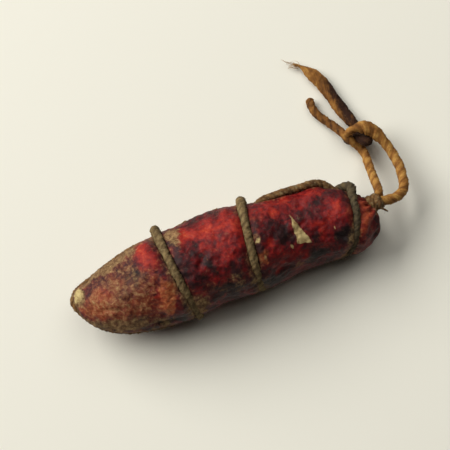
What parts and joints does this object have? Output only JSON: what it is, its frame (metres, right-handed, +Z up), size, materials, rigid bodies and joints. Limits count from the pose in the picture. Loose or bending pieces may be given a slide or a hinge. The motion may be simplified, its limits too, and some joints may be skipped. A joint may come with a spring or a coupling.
{
  "type": "salami",
  "caption": "Small dry-cured salami with a rounded tip, bound lengthwise and across with twine, and a knotted hanging cord at its tied neck.",
  "frame": {"origin": "bottom centre of the sausage's bounding box, with its twine and neck and without the hanging cord, on the surface that it lies on", "axes": "+X along the sausage from the rounded tip to the tied neck, +Y to the back, where the hanging cord lies, +Z up"},
  "size_m": [0.0789, 0.0494, 0.0185],
  "materials": {
    "casing": "dry, wrinkled casing, mottled red with pale mould",
    "binding_twine": "olive-brown twine, dusty with mould",
    "hanging_cord": "golden-brown twisted hemp cord"
  },
  "bodies": {
    "root": {"salami_body": "casing", "lengthwise_twine": "binding_twine", "tip_ring": "binding_twine", "middle_ring": "binding_twine", "neck_ring": "binding_twine", "neck_binding": "binding_twine", "hanging_cord_long_limb": "hanging_cord", "hanging_cord_short_limb": "hanging_cord", "hanging_cord_long_end": "hanging_cord", "hanging_cord_short_end": "hanging_cord", "hanging_cord_knot": "hanging_cord"}
  },
  "joints": []
}
